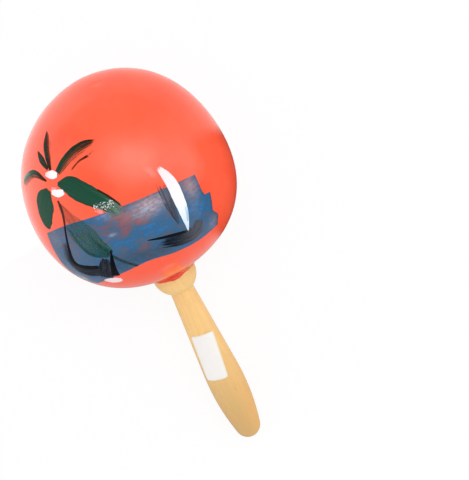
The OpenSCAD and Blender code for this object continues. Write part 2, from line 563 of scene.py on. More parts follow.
# %% Gourd shell
AROUND = 320
OUTSIDE_RINGS = 200
INSIDE_RINGS = 50
POLE_GAP = 0.05 * MM
RIM_ANGLE = np.radians(60)


def arc_end(radius, out):
    """The turn at which an arc of the gourd is that far out from the axis."""
    return np.arccos((out + PAST_AXIS) / radius)


def gourd_rings():
    """Rings from the blossom end over the outside to the hole, and back over the inside."""
    around = full_turn(AROUND)
    hole = TENON_D / 2 + GLUE_GAP
    cavity = HEAD_R - SHELL_WALL
    outside = np.linspace(-arc_end(HEAD_R, POLE_GAP), arc_end(HEAD_R, hole), OUTSIDE_RINGS)
    inside = np.linspace(arc_end(cavity, hole), -arc_end(cavity, POLE_GAP), INSIDE_RINGS)
    outer = on_gourd(*np.meshgrid(outside, around, indexing="ij"))
    inner = plain_gourd(*np.meshgrid(inside, around, indexing="ij"), SHELL_WALL)
    return np.concatenate([outer, inner])


gourd_finishes = (coral_enamel, raw_gourd)
gourd = make_piece("painted_gourd", [skin(gourd_rings())], gourd_finishes, RIM_ANGLE)
finish_of_face = np.zeros(len(gourd.data.polygons), np.int32)
quad_rings = OUTSIDE_RINGS + INSIDE_RINGS - 1
finish_of_face[(OUTSIDE_RINGS - 1) * AROUND:quad_rings * AROUND] = 1
finish_of_face[-AROUND:] = 1
gourd.data.polygons.foreach_set("material_index", finish_of_face)
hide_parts("gourd_shell")

# %% [markdown]
# ## Turned wood
#
# The handle is pale, dense wood, turned and sanded and hardly finished. It shows long soft grain lines
# where the tool cut through growth rings, and fine fibres and short dark pores along the grain. Towards
# the end that the hand holds it turns darker, partly with handling grime and partly as painted shade, and
# there one side is painted lighter and warmer, which is painted light. Noise alone looks like marble, so
# the rings are worked out as on a log: their middle lies beside the handle, and each point of the wood
# knows how far it is from there. The mesh carries each point's place in the log as an attribute, so that
# the grain follows the slanting axis.

# %% Finish of the handle
RING_GAP = 2.6
RING_WANDER = 3.0
RING_POWER = 3.0
PITH = (13.0, -8.0, 0.0)
BEND_RATE = (0.08, 0.08, 0.012)
FIBRE_RATE = (2.2, 2.2, 0.06)
PORE_RATE = (4.5, 4.5, 0.28)
PORE_SPAN = (0.66, 0.74)
PORE_SINK = 0.8
WOOD_PATCHES = 0.055
WOOD_ROUGH = (0.42, 0.56)
WOOD_RELIEF = 0.05 * MM
# Along the grip: where the end turns darker, partly handling grime and partly painted shade. Across it:
# where one side is painted lighter.
DARKER_END_REACH = (80, 150)
PAINTED_LIT_SIDE = (-8, 2)
PALE_WOOD = (0.92, 0.62, 0.25, 1)
RING_WOOD = (0.89, 0.575, 0.22, 1)
# Each layer over the rings: its colour and how much of it shows
WOOD_LAYERS = {
    "fibres": ((0.78, 0.46, 0.17, 1), 0.3),
    # The darker end: partly handling grime and partly painted shade
    "held": ((0.56, 0.335, 0.12, 1), 0.75),
    "patches": ((0.7, 0.4, 0.17, 1), 0.22),
    # Painted light: a lighter, warmer side towards the end
    "painted_lit_side": ((0.95, 0.46, 0.12, 1), 0.35),
    "pores": ((0.36, 0.18, 0.06, 1), 0.3),
}


def build_turned_wood():
    """Growth rings are the fraction of the distance from the pith in ring gaps, to the third power, so
    that each one starts softly and ends in a line. Fibres, a darker end (partly handling grime, partly
    painted shade), patches, a painted lighter side and pores are laid over them in turn."""
    material, tree, surface = new_finish("turned_wood", IOR=1.45)
    log = mark(tree, "log", "Vector")
    bend = noise(tree, stretched(tree, log, BEND_RATE))
    from_pith = vectors(tree, "DISTANCE", stretched(tree, log, (1, 1, 0)), PITH, "Value")
    rings = maths(tree, "DIVIDE", from_pith, RING_GAP)
    phase = plus(tree, rings, times(tree, bend, RING_WANDER))
    ring = maths(tree, "POWER", maths(tree, "FRACT", phase), RING_POWER)
    fibres = noise(tree, stretched(tree, log, FIBRE_RATE), detail=4.0, roughness=0.6)
    pores = remap(tree, noise(tree, stretched(tree, log, PORE_RATE), detail=1.0), *PORE_SPAN)
    tone = use(tree, mottling, {"Place": log, "Scale": WOOD_PATCHES})
    in_log = place(tree, "SeparateXYZ", {0: log}).outputs
    # The end that the hand holds turns darker: partly handling grime and partly painted shade
    held = remap(tree, in_log["Z"], *DARKER_END_REACH)
    # Painted light: towards the end the -Y side is lighter and warmer orange
    painted_lit_side = times(tree, held, remap(tree, in_log["Y"], *PAINTED_LIT_SIDE, 1.0, 0.0))
    covers = {"fibres": fibres, "held": held, "patches": tone["Patches"], "painted_lit_side": painted_lit_side, "pores": pores}
    colour = mixed(tree, ring, PALE_WOOD, RING_WOOD)
    for layer, cover in covers.items():
        shade, share = WOOD_LAYERS[layer]
        colour = mixed(tree, times(tree, cover, share), colour, shade)
    normal = bumped(tree, minus(tree, fibres, times(tree, pores, PORE_SINK)), WOOD_RELIEF)
    rough = remap(tree, fibres, *NOISE_SPAN, *WOOD_ROUGH)
    finish_surface(tree, surface, Base_Color=colour, Roughness=rough, Normal=normal)
    return material


turned_wood = build_turned_wood()
print("handle finish:", turned_wood.name)

# %% [markdown]
# ## The handle
#
# One outline from the tenon to the domed end, as a turner's template would show it: the tenon with its
# bevel, the seat dished to the gourd, the ball of the collar, the taper, the swell and the dome. The
# taper is tangent to the swell, and the swell runs into the dome without a corner.

# %% Handle outline
ARC_POINTS = 40
DISH_POINTS = 12
TENON_POINTS = 8
DOME_OPEN = 0.01
BALL_MIDDLE = NECK - np.sqrt((COLLAR_D / 2) ** 2 - (NECK_D / 2) ** 2)
SWELL = END - SWELL_FROM_END
swell_r = ((GRIP_D / 2) ** 2 - END_R**2 + (CAP - SWELL) ** 2) / (GRIP_D - 2 * END_R)
swell_out = GRIP_D / 2 - swell_r
neck_way = np.array([NECK_D / 2 - swell_out, NECK - SWELL])
taper_turn = np.arctan2(neck_way[1], neck_way[0]) + np.arccos(swell_r / np.hypot(*neck_way))
dome_turn = np.arcsin((CAP - SWELL) / (swell_r - END_R))
taper_reach = SWELL + swell_r * np.sin(taper_turn)
taper_out = swell_out + swell_r * np.cos(taper_turn)


def arc(reach, out, radius, start, end, count=ARC_POINTS):
    """Points (reach, out) of an arc about a middle, from turn to turn: 0 points away from the axis."""
    turn = np.linspace(start, end, count)
    return np.stack([reach + radius * np.sin(turn), out + radius * np.cos(turn)], -1)


def grip_out(reach):
    """How far the grip's surface is from the axis: a straight taper, then the arc of the swell."""
    taper = np.interp(reach, [NECK, taper_reach], [NECK_D / 2, taper_out])
    swell = swell_out + np.sqrt(np.maximum(swell_r**2 - (reach - SWELL) ** 2, 0))
    return np.where(reach < taper_reach, taper, swell)


def handle_outline():
    """Points (reach, out) from the tenon to the dome. The rim of the dish is where the arc of the seat
    and the ball of the collar cross, by the law of cosines."""
    seat = HEAD_R + GLUE_GAP
    apart = np.hypot(BALL_MIDDLE, PAST_AXIS)
    bend = np.arccos((seat**2 - (COLLAR_D / 2) ** 2 + apart**2) / (2 * apart * seat))
    rim_turn = np.arctan2(BALL_MIDDLE, PAST_AXIS) - bend
    rim = np.array([seat * np.sin(rim_turn), seat * np.cos(rim_turn) - PAST_AXIS])
    tenon_end = STEM - TENON_IN
    tenon_r = TENON_D / 2
    bevel = np.array([[tenon_end, tenon_r - TENON_BEVEL], [tenon_end + TENON_BEVEL, tenon_r]])
    dish = arc(0, -PAST_AXIS, seat, arc_end(seat, tenon_r), rim_turn, DISH_POINTS)
    ball_turn = np.arctan2(rim[0] - BALL_MIDDLE, rim[1])
    ball = arc(BALL_MIDDLE, 0, COLLAR_D / 2, ball_turn, np.arccos(NECK_D / COLLAR_D))
    taper = np.linspace([NECK, NECK_D / 2], [taper_reach, taper_out], ARC_POINTS)
    swell = arc(SWELL, swell_out, swell_r, taper_turn, dome_turn, 2 * ARC_POINTS)
    dome = arc(CAP, 0, END_R, dome_turn, np.pi / 2 - DOME_OPEN)
    tenon = np.linspace(bevel[1], dish[0], TENON_POINTS)[1:-1]
    return np.concatenate([bevel, tenon, dish, ball[1:], taper[1:], swell[1:], dome[1:]])


outline = handle_outline()
from_mm, to_mm = outline[[0, -1], 0] / MM
print(f"handle outline: {len(outline)} points, {from_mm:.1f} to {to_mm:.1f} mm along the axis")

# %% Handle
HANDLE_AROUND = 144
SEAT_ANGLE = np.radians(35)


def handle_skin():
    """The outline carried round the axis, with the place in the log in mm."""
    around = full_turn(HANDLE_AROUND)
    reach, turn = np.meshgrid(outline[:, 0], around, indexing="ij")
    out = np.repeat(outline[:, 1:], HANDLE_AROUND, 1)
    log = np.stack([out * np.cos(turn), out * np.sin(turn), reach], -1) / MM
    return skin(turned(reach, out, turn), log=log)


handle = make_piece("turned_handle", [handle_skin()], (turned_wood,), SEAT_ANGLE)
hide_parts("handle")

# %% [markdown]
# ## Enamel in the joint
#
# The gourd was painted after the handle was glued in, and enamel pooled in the corner between them. It
# ends on the collar in an uneven line. This is a bead that runs round the joint: a closed ring whose
# section is an oval, half sunk in the gourd and in the collar, with a width and height that swell and
# shrink round the axis. Above it a film of the same enamel climbs the gourd to an edge that wavers. Both
# are darker than the coat, partly because pooled enamel is deeper and partly as painted shade, and more
# painted shade lies along the bead's line on the collar and along the film's edge.

# %% Films on the gourd
SUNK = 0.06 * MM
FILM_EDGE = 24


def to_edges(count):
    """Places from -1 to 1 that lie closer together towards both ends: the sines of even turns."""
    return np.sin(np.linspace(-np.pi / 2, np.pi / 2, count))


def film_skin(down, around, v, film, loop=False, **marks):
    """A closed film over a grid of places on the gourd, which goes along and, by v from -1 to 1, across.
    It stands film mm high in its middle, times 1 - v to a high even power, and its underside is sunk."""
    height = (film * MM + SUNK) * (1 - v**FILM_EDGE) - SUNK
    top = on_gourd(down, around, np.broadcast_to(height, down.shape))
    under = on_gourd(down, around, -SUNK)[:, -2:0:-1]
    doubled = {name: np.concatenate([grid, grid[:, -2:0:-1]], 1) for name, grid in marks.items()}
    return skin(np.concatenate([top, under], 1), loop, **doubled)


print("film functions ready")

# %% Bead of enamel round the joint
BEAD_OUT = 10.9 * MM
BEAD_HIGH = 1.4 * MM
BEAD_FROM = 51.7 * MM
BEAD_TO = 53.4 * MM
POOL_TO = 0.75 * MM
POOL_AT = -4
POOL_WIDE = 26
DRY_PAST = 48
DRY_WIDE = 22
DRY_SHARE = 0.7
BEAD_AROUND = 240
BEAD_SECTION = 28
FILLET_FROM = 70.5
FILLET_TO = 78
FILLET_FILM = 0.15
FILLET_ACROSS = 16
# Painted shade in the joint: where it begins across the bead and the film, and how dark on each
JOINT_SHADE_FROM = 0.6
BEAD_JOINT_SHADE = 0.6
FILLET_JOINT_SHADE = 0.7
# Waves round the axis: size, count and phase
BEAD_WAVER = ((0.22, 3, 0.6), (0.14, 8, 2), (0.08, 17, 0))
BEAD_SWELL = ((0.12, 4, 1), (0.08, 11, 0))
FILLET_WAVER = ((0.3, 3, 2), (0.2, 7, 0), (0.1, 16, 1))


def waves(turn, parts):
    """A sum of sines, each with its size, count and phase."""
    return sum(size * np.sin(count * turn + phase) for size, count, phase in parts)


def bead_skin():
    """Rings round an oval section. The oval reaches from the gourd to a line on the collar that wavers,
    and that lies lower where the enamel pooled, by a bell curve round one side, and higher past it. The
    bead darkens towards that line as painted shade."""
    around = full_turn(BEAD_AROUND)
    section = full_turn(BEAD_SECTION)
    turn, round_oval = np.meshgrid(around, section, indexing="ij")
    off_pool = (np.degrees(turn) - POOL_AT + 180) % 360 - 180
    pool = np.exp(-((off_pool / POOL_WIDE) ** 2))
    dry = DRY_SHARE * np.exp(-(((off_pool + DRY_PAST) / DRY_WIDE) ** 2))
    low = BEAD_TO + POOL_TO * (pool - dry) + waves(turn, BEAD_WAVER) * MM
    reach = (BEAD_FROM + low) / 2 + (low - BEAD_FROM) / 2 * np.sin(round_oval)
    high = BEAD_HIGH * (1 + waves(turn, BEAD_SWELL))
    rings = turned(reach, BEAD_OUT + high * np.cos(round_oval), turn)
    return skin(rings, True, crease=BEAD_JOINT_SHADE * eased(JOINT_SHADE_FROM, 1, np.sin(round_oval)))


def fillet_skin():
    """A film on the gourd from under the bead up to an edge that wavers, which darkens there as painted
    shade.
    """
    around = full_turn(BEAD_AROUND)[:, None]
    v = to_edges(FILLET_ACROSS)
    edge = FILLET_FROM + waves(around, FILLET_WAVER)
    down = np.radians(FILLET_TO + (edge - FILLET_TO) * (v + 1) / 2)
    painted_joint_shade = np.broadcast_to(FILLET_JOINT_SHADE * eased(JOINT_SHADE_FROM, 1, v), down.shape)
    return film_skin(down, np.broadcast_to(around, down.shape), v, FILLET_FILM, True, crease=painted_joint_shade)


make_piece("enamel_in_joint", [bead_skin(), fillet_skin()], (pooled_enamel_and_shade,))

# %% [markdown]
# ## Brush strokes
#
# The picture is a common one on such souvenirs: a palm, the sea and a boat, in quick single strokes. It
# could be an image or a mask in the enamel's material, but paint has thickness, crisp edges and streaks
# that follow the brush. So each stroke is a film of its own: a smooth path on the gourd, a width along
# it, and a section that rises steeply at its edges and is nearly flat on top. Its underside is sunk in
# the gourd. The mesh carries the place along and across the stroke, how much paint the brush still had,
# and the tint, and the finish makes streaks from them.

# %% Strokes
STEP_ALONG = 0.7 * MM
STEP_ACROSS = 0.5 * MM
LEAST_ALONG = 12
LEAST_ACROSS = 9
LEAST_WIDTH = 0.15
GOLDEN_TURN = 2.4
WAVER = 0.02
STROKES_APART = 7.3
EDGE_POWER = 10


def flowing(keys, count):
    """Key values at even steps, joined by the cubic through each four neighbours."""
    keys = np.asarray(keys, float).reshape(len(keys), -1)
    padded = np.vstack([2 * keys[0] - keys[1], keys, 2 * keys[-1] - keys[-2]])
    share = np.linspace(0, len(keys) - 1, count)
    step = np.minimum(share.astype(int), len(keys) - 2)
    part = (share - step)[:, None]
    a, b, c, d = (padded[step + k] for k in range(4))
    return b + part / 2 * (c - a + part * (2 * a - 5 * b + 4 * c - d + part * (3 * (b - c) + d - a)))


def stroke(
    number, path, widths, film, load=(1, 1), tint=(0.5, 0.5), ends=(0.4, 0.8), lean=0, soft=0, edge=0
):
    """One brush stroke. The path is in degrees (down, around) on the gourd, and widths are in mm. The
    load falls to 0 over the ends, in mm, leans to one edge, and sinks by soft at the edges and ends. The
    edges waver by a share of the width, and the tint sinks by edge along them, where paint gathers."""
    corners = on_gourd(*np.radians(path).T)
    length = np.linalg.norm(np.diff(corners, axis=0), axis=1).sum()
    stations = int(length / STEP_ALONG) + LEAST_ALONG
    spine = on_gourd(*np.radians(flowing(path, stations)).T)
    ahead = np.gradient(spine, axis=0)
    ahead /= np.linalg.norm(ahead, axis=1, keepdims=True)
    side = np.cross(gourd_normal(*globe(spine)), ahead)
    along = np.concatenate([[0], np.cumsum(np.linalg.norm(np.diff(spine, axis=0), axis=1))]) / MM
    half = np.maximum(flowing(widths, stations)[:, 0], LEAST_WIDTH) / 2
    v = to_edges(int(max(widths) * MM / STEP_ACROSS) + LEAST_ACROSS)
    phase = GOLDEN_TURN * number
    near = waves(along, ((1, 0.5, phase), (0.7, 1.3, 2 * phase)))
    far = waves(along, ((1, 0.6, -phase), (0.7, 1.5, -3 * phase)))
    across = half[:, None] * v * (1 + WAVER * np.where(v < 0, near[:, None], far[:, None]))
    down, around = globe(spine[:, None] + side[:, None] * across[..., None] * MM)
    apart = np.full(across.shape, STROKES_APART * number)
    brush = np.stack([np.broadcast_to(along[:, None], across.shape), across, apart], -1)
    run = (np.clip(along / ends[0], 0, 1) * np.clip((along[-1] - along) / ends[1], 0, 1))[:, None]
    paint_load = flowing(load, stations) * run - soft * (1 - run) + lean * v - soft * v**2
    paint_tint = flowing(tint, stations) - edge * v**EDGE_POWER
    return film_skin(down, around, v, film, brush=brush, load=paint_load, tint=paint_tint)


def paint_strokes(name, strokes, finish):
    """A piece of several strokes in one paint."""
    make_piece(name, [stroke(number, **about) for number, about in enumerate(strokes)], (finish,))


print("stroke function ready")

# %% [markdown]
# ## Brush paints
#
# The paints are the same kind of enamel, thinned. A stroke is darker where the bristles left more, and
# lets the coat below through where they left little, so the streaks change both the colour and the cover.
# One function makes all of them from their row of tints. Dark green and black are laid on thick, and the
# leaf wash thin.

# %% How paint dries
PAINT_GLOSS = (0.28, 0.38)
PAINT_RELIEF = 0.05 * MM


def bristled(tree, streak, grain, ragged, soft):
    """Bristle marks from the brush and load that the mesh carries."""
    carried = {"Brush": mark(tree, "brush", "Vector"), "Load": mark(tree, "load", "Fac")}
    shape = {"Streak": streak, "Grain": grain, "Raggedness": ragged, "Softness": soft}
    return use(tree, bristle_marks, {**carried, **shape})


def dry_on_enamel(tree, surface, bristles, colour, depth):
    """Paint that dried on the coat: its relief is that of the bristles and half that of the coat."""
    coat = use(tree, enamel_skin, {"Place": object_place(tree)})
    gloss = remap(tree, coat["Gloss"], 0, 1, *PAINT_GLOSS)
    normal = bumped(tree, plus(tree, bristles["Height"], times(tree, coat["Height"], 0.5)), depth)
    cover = bristles["Cover"]
    finish_surface(tree, surface, Base_Color=colour, Roughness=gloss, Alpha=cover, Normal=normal)


def build_paint(name, tints, streak, ragged, soft, move=0.3, grain=0.25, ior=1.4):
    """A brush paint. Tints are its colours along the tint mark, streak is the width of a bristle mark in
    mm, ragged is how much the marks break the cover, and soft how thin it may lie. Streaks move the tint
    by move. Grain is the share of grains in the marks. A paint that dried dull has a low ior."""
    material, tree, surface = new_finish(name, IOR=ior)
    bristles = bristled(tree, streak, grain, ragged, soft)
    streaked = times(tree, minus(tree, bristles["Streak"], 0.5), move)
    colour = shades(tree, plus(tree, mark(tree, "tint", "Fac"), streaked), tints)
    dry_on_enamel(tree, surface, bristles, colour, PAINT_RELIEF)
    return material


print("paint functions ready")

# %% Paints from their tints
PALM_TINTS = [
    (0.0, (0.03, 0.012, 0.004, 1)),
    (0.3, (0.008, 0.02, 0.011, 1)),
    (0.6, (0.012, 0.062, 0.035, 1)),
    (0.8, (0.015, 0.074, 0.045, 1)),
    (1.0, (0.15, 0.24, 0.19, 1)),
]
WASH_TINTS = [
    (0.0, (0.09, 0.028, 0.011, 1)),
    (0.35, (0.003, 0.028, 0.036, 1)),
    (0.65, (0.006, 0.08, 0.07, 1)),
    (1.0, (0.045, 0.125, 0.095, 1)),
]
DARK_TINTS = [
    (0.0, (0.002, 0.003, 0.005, 1)),
    (0.5, (0.013, 0.017, 0.026, 1)),
    (1.0, (0.1, 0.1, 0.12, 1)),
]
WHITE_TINTS = [
    (0.0, (0.36, 0.62, 0.85, 1)),
    (0.4, (0.68, 0.8, 0.88, 1)),
    (0.7, (0.91, 0.93, 0.94, 1)),
    (1.0, (0.92, 0.73, 0.76, 1)),
]
palm_paint = build_paint("palm_paint", PALM_TINTS, streak=0.5, ragged=0.5, soft=0.25, ior=1.18)
leaf_paint = build_paint("leaf_paint", WASH_TINTS, streak=2.2, ragged=0.35, soft=0.45, move=0.55, ior=1.25)
dark_paint = build_paint("dark_paint", DARK_TINTS, streak=0.5, ragged=0.8, soft=0.3, move=0.4, ior=1.1)
dry_black = build_paint(
    "dry_black", DARK_TINTS, streak=0.35, ragged=1.5, soft=0.25, move=0.6, grain=0.2, ior=1.1
)
white_paint = build_paint("white_paint", WHITE_TINTS, streak=0.5, ragged=0.8, soft=0.25, move=0.15)
white_wash = build_paint("white_wash", WHITE_TINTS, streak=0.4, ragged=0.7, soft=0.6, move=0.1, grain=0.5)
paints = (palm_paint, leaf_paint, dark_paint, dry_black, white_paint, white_wash)
print("paints:", [paint.name for paint in paints])

# %% [markdown]
# ## The sea
#
# A coat of slate blue was laid as one patch, and clear blue and mauve were worked into it while it was
# wet. A pale haze over it is partly a pale scumble and partly painted sheen: reflections of the light
# painted into the colour, with a painted highlight at the rim by its lower left end. Its left end is
# neat, and its right end is ragged where the brush left the gourd. A patch inside four drawn edges is a
# Coons patch: the blend of the upper and lower edges, plus the blend of the left and right ones, less the
# blend of the corners. Each worked-in colour is a soft bell curve, and the finish breaks all of them up
# with blots and streaks.

# %% Finish of the sea
SEA_TINTS = [
    (0.0, (0.27, 0.082, 0.095, 1)),
    (0.2, (0.18, 0.085, 0.12, 1)),
    (0.4, (0.1, 0.1, 0.165, 1)),
    (0.6, (0.045, 0.115, 0.215, 1)),
    (0.8, (0.023, 0.115, 0.255, 1)),
    (1.0, (0.018, 0.14, 0.35, 1)),
]
# Pale colours of the haze, which is partly a pale scumble and partly painted sheen
HAZE_AND_SHEEN_TINTS = [
    (0.0, (0.4, 0.6, 0.8, 1)),
    (0.5, (0.74, 0.62, 0.66, 1)),
    (1.0, (0.92, 0.58, 0.57, 1)),
]
SEA_DARK = (0.015, 0.045, 0.08, 1)
SEA_RELIEF = 0.06 * MM
BLOT_RATE = (0.17, 0.3, 1)
BLOT_SHARE = 0.4
BRISTLE_SHARE = 0.14
SEA_GRAIN_RATE = (0.4, 0.62, 1)
SEA_GRAIN_SPAN = (0.2, 0.8)
SEA_GRAIN_SHARE = 0.32
BROKEN_SPAN = (0.3, 1.7)
HAZE_SWING = (0.5, 1.5)
WASH_SWING = (1.4, 0.6)


def build_sea_paint():
    """Blots, streaks and grain, all longer along the brush, move the tint. Haze, which is partly painted
    sheen, and dark wash lie where their marks say, and the same noises break them up."""
    material, tree, surface = new_finish("sea_paint", IOR=1.35)
    bristles = bristled(tree, streak=0.6, grain=0.25, ragged=0.5, soft=0.3)
    brush = mark(tree, "brush", "Vector")
    blots = remap(tree, noise(tree, stretched(tree, brush, BLOT_RATE)), *NOISE_SPAN)
    grain = remap(tree, noise(tree, stretched(tree, brush, SEA_GRAIN_RATE), detail=1.0), *SEA_GRAIN_SPAN)
    tint = mark(tree, "tint", "Fac")
    moves = ((blots, BLOT_SHARE), (bristles["Streak"], BRISTLE_SHARE), (grain, SEA_GRAIN_SHARE))
    for value, share in moves:
        tint = plus(tree, tint, times(tree, minus(tree, value, 0.5), share))
    broken = plus(tree, bristles["Streak"], grain)
    # Partly painted sheen: the haze mark mixes pale colours into the sea
    haze = times(tree, mark(tree, "haze", "Fac"), remap(tree, broken, *BROKEN_SPAN, *HAZE_SWING))
    wash = times(tree, mark(tree, "wash", "Fac"), remap(tree, broken, *BROKEN_SPAN, *WASH_SWING))
    hazed = mixed(tree, haze, shades(tree, tint, SEA_TINTS), shades(tree, blots, HAZE_AND_SHEEN_TINTS))
    dry_on_enamel(tree, surface, bristles, mixed(tree, wash, hazed, SEA_DARK), SEA_RELIEF)
    return material


sea_paint = build_sea_paint()
print("sea finish:", sea_paint.name)

# %% Edges and colours of the sea
SEA_TOP = [(-1, 55), (-3.5, 37), (-3.5, 18), (-3, 0), (-2, -18), (0, -36)]
SEA_LOW = [(39.5, 55), (37, 41), (35, 24), (34, 6), (37.5, -11), (38.5, -29), (36, -46)]
SEA_LEFT = [(-1, 55), (13, 60), (26, 65.5), (34, 64), (39.5, 55)]
SEA_RIGHT = [(0, -36), (10, -36.5), (13, -37.5), (13.5, -41.5), (24, -41), (28, -45.5), (36, -46)]
SEA_TINT = 0.62
# Each worked-in colour: its middle (down, around), its reach (down, around) and how much of it there is
SEA_COLOURS = (
    (15, 8, 5, 14, 0.2),
    (16, -7, 4, 8, 0.2),
    (17.5, -33, 6, 8, 0.35),
    (0, 18, 3, 6, 0.2),
    (19, 37, 5, 8, 0.1),
    (3, 7, 3.5, 6, -0.5),
    (8.5, 8, 2.5, 6, -0.45),
    (9, -1, 2.5, 5, -0.35),
    (5, 19, 3, 4, -0.3),
    (2, -8, 5, 9, -0.35),
    (24, 5, 3, 3.5, -0.35),
    (8, 46, 12, 8, -0.12),
    (4, -31, 7, 5, -0.45),
    (31, -42, 4, 4, -0.15),
    (12.5, 10, 3, 4, -0.25),
)
# Each pale haze, with the same columns: partly a pale scumble and partly painted sheen; the last is a
# painted highlight at the rim
SEA_HAZE_AND_SHEEN = (
    (3.5, -7, 4.5, 9, 0.42),
    (3.5, 7, 3, 5, 0.04),
    (5, -31, 7, 4, 0.2),
    (31, -41, 4, 4, 0.15),
    (-1, 13, 3, 6, 0.15),
    (18, -29.5, 5, 3, 0.06),
    (3, 51, 6, 6, 0.08),
    (11, 42, 10, 8, 0.04),
    (9.5, 16, 0.8, 2, 0.3),
    (33, 60, 4, 4, 0.5),
)
SEA_WASH = (
    (27, 13, 6, 12, 0.45),
    (30, -4, 6, 14, 0.5),
    (22, -12, 3, 8, 0.2),
    (29, 24, 5, 6, 0.3),
)
print(f"{len(SEA_COLOURS)} worked-in tints, {len(SEA_HAZE_AND_SHEEN)} hazes and {len(SEA_WASH)} dark washes")

# %% Sea
SEA_LOAD = (1.2, 1.2, 1.15, 1.15, 1.1, 1.1, 1)
SEA_FILM = 0.03
SEA_EDGE = 0.4
DARK_ACROSS = 30
DARK_ALONG = 60
SEA_SLICE = 0.2
SEA_STATIONS = 130
SEA_ACROSS = 90


def bells(down, around, spots):
    """The sum of bell curves of the distance from the middle of each spot."""
    total = np.zeros(down.shape)
    for mid_down, mid_around, far_down, far_around, much in spots:
        off_down, off_around = (down - mid_down) / far_down, (around - mid_around) / far_around
        total += much * np.exp(-(off_down**2) - off_around**2)
    return total


def sea_patch():
    """The Coons patch of the four edges, u along it and v across, with the worked-in colours as marks. A
    dark line gathers at the edges: high powers of the places across and along."""
    u = np.linspace(0, 1, SEA_STATIONS)[:, None, None]
    place_across = to_edges(SEA_ACROSS)
    share = (place_across + 1) / 2
    v = share[None, :, None]
    top, low = flowing(SEA_TOP, SEA_STATIONS)[:, None], flowing(SEA_LOW, SEA_STATIONS)[:, None]
    sides = []
    for edge in (flowing(SEA_LEFT, SEA_ACROSS), np.array(SEA_RIGHT)):
        steps = np.linspace(0, 1, len(edge))
        sides.append(np.stack([np.interp(share, steps, edge[:, k]) for k in range(2)], -1))
    left, right = sides
    corners = (1 - u) * (1 - v) * top[0] + u * (1 - v) * top[-1] + (1 - u) * v * low[0] + u * v * low[-1]
    places = (1 - v) * top + v * low + (1 - u) * left + u * right - corners
    spot = places[..., 0], places[..., 1]
    down, around = np.radians(spot)
    brush = np.stack([np.cos(down) * -around, down, np.full(down.shape, SEA_SLICE)], -1) * HEAD_R / MM
    gathered = np.maximum(np.abs(place_across) ** DARK_ACROSS, np.abs(2 * u[..., 0] - 1) ** DARK_ALONG)
    marks = {
        "brush": brush,
        "load": np.repeat(flowing(SEA_LOAD, SEA_STATIONS), SEA_ACROSS, 1),
        "tint": SEA_TINT + bells(*spot, SEA_COLOURS),
        "haze": bells(*spot, SEA_HAZE_AND_SHEEN),
        "wash": bells(*spot, SEA_WASH) + SEA_EDGE * gathered,
    }
    return film_skin(down, around, place_across, SEA_FILM, **marks)


make_piece("sea", [sea_patch()], (sea_paint,))

# %% [markdown]
# ## The palm
#
# Six fronds, each one press and lift of the brush: a thick start and a dry tip. The upper ones are thin
# and brown along one edge. One more hangs over the sea as a thin green wash with darker lines in it. The
# trunk is a thin dark line that swells to a root, with grass and a shadow at its foot.

# %% Palm fronds
paint_strokes("palm_fronds", [
    dict(path=[(-27.5, 33.5), (-31.5, 26.5), (-34.5, 19), (-36, 11), (-35.5, 3)],
         widths=(3, 5.6, 6, 4.8, 1), film=0.11, load=(0.72, 0.6, 0.58, 0.58, 0.52),
         tint=(0.5, 0.5, 0.4, 0.25, 0.05), ends=(0.3, 3), lean=0.25, edge=0.35),
    dict(path=[(-26.5, 24), (-29.5, 17.5), (-30.5, 10)], widths=(0.7, 0.9, 1.3), film=0.1,
         load=(0.6, 0.62, 0.75), tint=(0, 0.05, 0.1), ends=(1, 1.5)),
    dict(path=[(-30.5, 11), (-32.5, 5.5)], widths=(0.9, 0.4), film=0.1, load=(0.5, 0.35), tint=(0.05, 0)),
    dict(path=[(-29.5, 38), (-37, 40), (-44, 42), (-51, 44.5)], widths=(1.2, 3.8, 4.6, 0.6), film=0.12,
         load=(0.9, 0.68, 0.64, 0.7), tint=(0.05, 0.35, 0.2, 0.05), lean=0.3, edge=0.2),
    dict(path=[(-30.5, 40), (-36, 46), (-41, 51.5)], widths=(1.4, 3.4, 0.5), film=0.13,
         load=(0.9, 0.75, 0.8), tint=(0.1, 0.4, 0.1), edge=0.3),
    dict(path=[(-25, 42), (-29, 50.5), (-29.5, 57.5), (-26.5, 66), (-21.5, 70.5)],
         widths=(0.7, 3.2, 4.5, 5, 4.4), film=0.12, load=(0.75, 0.6, 0.58, 0.56, 0.42),
         tint=(0, 0.3, 0.75, 0.95, 0.95), ends=(0.3, 5), lean=-0.12),
    dict(path=[(-22.5, 34.5), (-20, 27), (-14, 20), (-7.5, 13), (1, 6)], widths=(1.6, 9, 9.8, 8, 3.6),
         film=0.13, load=(1.3, 1.3, 1.3, 1, 0.5), tint=(0.65, 0.7, 0.7, 0.75, 1), ends=(0.4, 4),
         edge=0.35),
    dict(path=[(-21, 42), (-16.5, 46.5), (-11, 49.5), (-5, 51), (-1.5, 51)],
         widths=(3.1, 12, 11.5, 7.5, 0.7), film=0.14, load=(1.3, 1.3, 1.2, 1.2, 1.2),
         tint=(0.6, 0.7, 0.7, 0.65, 0.5), edge=0.35),
    dict(path=[(-7.5, 12.5), (-3.5, 9.5), (0.5, 7.5), (3, 6)], widths=(3, 7.5, 7, 3), film=0.15,
         load=(0.35, 0.55, 0.55, 0.4), tint=(1, 1), ends=(2, 3), soft=0.2),
    dict(path=[(-14.5, 13.5), (-9, 9), (-4, 6), (-0.5, 5)], widths=(0.7, 0.9, 0.9, 0.5), film=0.16,
         load=(0.7, 0.75, 0.6, 0.4), tint=(0, 0), ends=(1.5, 3)),
], palm_paint)

